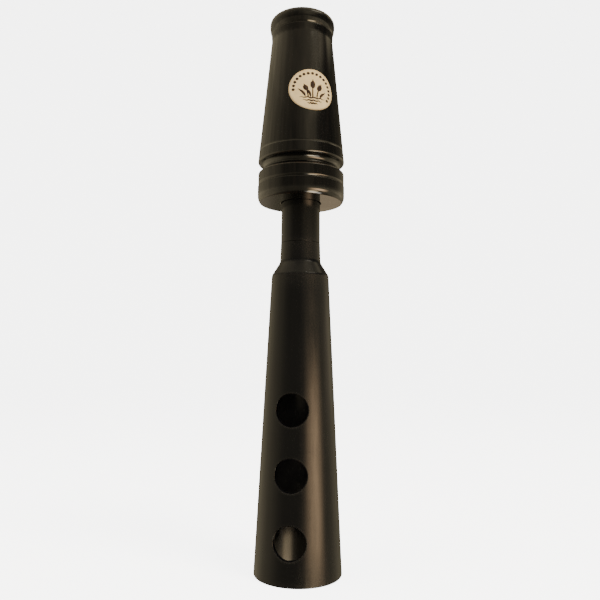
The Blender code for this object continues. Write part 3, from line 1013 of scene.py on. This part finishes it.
def make_room():
    """A sphere that only reflections see, so that the gloss has a room to show."""
    bpy.ops.mesh.primitive_uv_sphere_add(segments=48, ring_count=24, radius=ROOM_R, location=(0, 0, ROOM_Z))
    room = bpy.context.object
    room.name = "reflected_room"
    room.rotation_euler = (0, 0, CAMERA_TURN)
    for way in ("camera", "diffuse", "transmission", "shadow", "volume_scatter"):
        setattr(room, "visible_" + way, False)
    n = Nodes("reflected_room")
    n.tree.nodes.remove(n.shader)
    split = n.add("ShaderNodeSeparateXYZ")
    n.put(split.inputs[0], n.place)
    x, y, z = split.outputs
    azimuth = n.times(n.maths("ARCTAN2", x, n.times(y, -1.0)), 180 / math.pi)
    level = n.maths("SQRT", n.plus(n.times(x, x), n.times(y, y)))
    elevation = n.times(n.maths("ARCTAN2", z, level), 180 / math.pi)

    def ring(stops):
        """The colour that a ring of (azimuth, brightness) stops has all round."""
        ramp = n.add("ShaderNodeValToRGB")
        n.put(ramp.inputs["Fac"], n.plus(n.times(azimuth, 1 / 360), 0.5))
        colours = ramp.color_ramp
        while len(colours.elements) < len(stops):
            colours.elements.new(0.5)
        for element, (turn, bright) in zip(colours.elements, stops):
            element.position = turn / 360 + 0.5
            element.color = (*(bright * c for c in RING_COLOUR), 1.0)
        return ramp.outputs["Color"]

    def within(value, edges):
        """1 between the two middle edges, fading to 0 at the outer two."""
        start, full, still, end = edges
        return n.times(n.ramp(value, start, full), n.ramp(value, end, still))

    rings = ring(LOW_RING)
    for stops, change in HIGHER_RINGS:
        rings = n.blend(n.ramp(elevation, *change), rings, ring(stops))
    overhead = n.times(n.ramp(elevation, 50, 66), n.ramp(elevation, 85, 77, 0.25, 1.0))
    rings = n.blend(overhead, rings, ring(TOP_RING))
    base = n.add("ShaderNodeEmission")
    n.put(base.inputs["Color"], rings)
    mottle = n.ramp(n.noise(110.0, detail=3), 0.3, 0.7, 0.86, 1.14)
    n.put(base.inputs["Strength"], n.times(mottle, n.ramp(elevation, -48, -22, 0.15, 1.0)))
    total = base.outputs[0]
    for azimuths, elevations, colour, strength in LAMPS:
        emission = n.add("ShaderNodeEmission")
        emission.inputs["Color"].default_value = (*colour, 1.0)
        inside = n.times(within(azimuth, azimuths), within(elevation, elevations))
        n.put(emission.inputs["Strength"], n.times(inside, strength))
        both = n.add("ShaderNodeAddShader")
        n.put(both.inputs[0], total)
        n.put(both.inputs[1], emission.outputs[0])
        total = both.outputs[0]
    n.put(n.tree.nodes["Material Output"].inputs["Surface"], total)
    room.data.materials.append(n.material)


def make_floor():
    """A pale floor that curves up into a wall all round."""
    flat_r, curve_r, wall_top_z = 1.3, 0.7, 2.6
    profile = [(0.35, 0.0), (0.8, 0.0)]
    steps = 12
    for k in range(1, steps + 1):
        a = math.pi / 2 * k / steps
        profile.append((flat_r + curve_r * math.sin(a), curve_r * (1 - math.cos(a))))
    profile.append((flat_r + curve_r, wall_top_z))
    sides = 96
    bm = bmesh.new()
    middle = bm.verts.new((0, 0, 0))
    rings = [[bm.verts.new((r * math.cos(math.tau * i / sides), r * math.sin(math.tau * i / sides), z))
              for i in range(sides)] for r, z in profile]
    for i in range(sides):
        bm.faces.new((middle, rings[0][i - 1], rings[0][i]))
    bridge(bm, rings)
    bmesh.ops.recalc_face_normals(bm, faces=bm.faces)
    mesh = bpy.data.meshes.new("pale_floor")
    bm.to_mesh(mesh)
    bm.free()
    mesh.shade_smooth()
    floor = bpy.data.objects.new("pale_floor", mesh)
    bpy.context.scene.collection.objects.link(floor)
    material = bpy.data.materials.new("pale_floor")
    material.use_nodes = True
    shader = material.node_tree.nodes["Principled BSDF"]
    shader.inputs["Base Color"].default_value = (0.9, 0.9, 0.89, 1)
    shader.inputs["Roughness"].default_value = 0.9
    shader.inputs["Emission Color"].default_value = (1.0, 1.0, 0.995, 1)
    shader.inputs["Emission Strength"].default_value = 5.0
    mesh.materials.append(material)
    floor.visible_glossy = False
    floor.visible_diffuse = False


def add_softbox(name, azimuth, elevation, distance, size, watts, colour):
    """A square light that faces the call's middle, placed in degrees and metres."""
    light = bpy.data.lights.new(name, "AREA")
    light.size = size
    light.energy = watts
    light.color = colour
    lamp = bpy.data.objects.new(name, light)
    a = CAMERA_TURN + math.radians(azimuth)
    e = math.radians(elevation)
    target = Vector((0, 0, 0.12))
    away = Vector((math.sin(a) * math.cos(e), -math.cos(a) * math.cos(e), math.sin(e)))
    lamp.location = target + away * distance
    lamp.rotation_mode = "QUATERNION"
    lamp.rotation_quaternion = (-away).to_track_quat("-Z", "Y")
    lamp.visible_glossy = False
    bpy.context.scene.collection.objects.link(lamp)


def make_studio():
    make_floor()
    make_room()
    add_softbox("key", azimuth=50, elevation=58, distance=0.8, size=0.22, watts=9.0,
                colour=(1.0, 0.94, 0.84))
    add_softbox("fill", azimuth=-60, elevation=40, distance=1.0, size=0.6, watts=5.0,
                colour=(1.0, 0.95, 0.88))
    world = bpy.data.worlds.new("studio_air")
    world.use_nodes = True
    background = world.node_tree.nodes["Background"]
    background.inputs["Color"].default_value = (1.0, 0.97, 0.93, 1)
    background.inputs["Strength"].default_value = 0.55
    bpy.context.scene.world = world


def make_camera():
    camera = bpy.data.cameras.new("camera")
    camera.lens = CAMERA_LENS
    camera.sensor_width = 36.0
    camera.clip_start, camera.clip_end = 0.01, 20.0
    obj = bpy.data.objects.new("camera", camera)
    turn = Matrix.Rotation(CAMERA_TURN, 4, "Z")
    place = Matrix.Translation(Vector((0, -CAMERA_DISTANCE, CAMERA_Z)) * MM)
    look = Matrix.Rotation(math.pi / 2 + CAMERA_RISE, 4, "X") @ Matrix.Rotation(CAMERA_ROLL, 4, "Z")
    obj.matrix_world = turn @ place @ look
    bpy.context.scene.collection.objects.link(obj)
    bpy.context.scene.camera = obj


def main():
    make_camera()
    bell_black = black_plastic("bell_plastic", 0.20, 0.0008)
    stem_black = black_plastic("stem_plastic", 0.18, 0.0008)
    rubber = seal_rubber()
    make_flute(bell_black)
    make_stem(stem_black)
    make_seal("neck_seal", rubber, "neck_ring")
    make_seal("lower_barrel_seal", rubber, "barrel_rings")
    make_seal("upper_barrel_seal", rubber, "barrel_rings")
    make_tone_board(board_plastic())
    make_reed(reed_film())
    make_wedge(cork())
    make_barrel(black_lacquer(), bare_wood())
    make_label(label_paper())
    make_label_print(label_ink())
    make_studio()


main()
